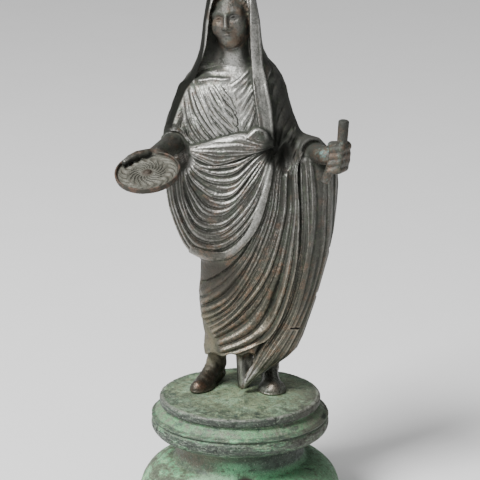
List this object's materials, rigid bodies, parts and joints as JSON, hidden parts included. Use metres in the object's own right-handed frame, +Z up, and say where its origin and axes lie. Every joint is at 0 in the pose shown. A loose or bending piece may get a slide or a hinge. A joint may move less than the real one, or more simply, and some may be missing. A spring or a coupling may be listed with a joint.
{
  "type": "veiled offering figure statuette on a round base",
  "caption": "Cast bronze statuette of a veiled figure at sacrifice, holding a shallow fluted dish and a short rod, on a round moulded base with green patina.",
  "frame": {"origin": "centre of the base's flat underside", "axes": "+Z up through the figure's head, the figure faces -Y, and its right hand with the dish is towards -X"},
  "size_m": [0.1028, 0.0984, 0.24],
  "materials": {
    "dark_bronze": "dark grey-brown cast bronze, worn bright on the ridges and near black in the hollows",
    "green_bronze": "cast bronze under a green and grey copper patina, pitted, dark on the edges"
  },
  "bodies": {
    "root": {"figure": "dark_bronze", "base": "green_bronze"}
  },
  "joints": []
}
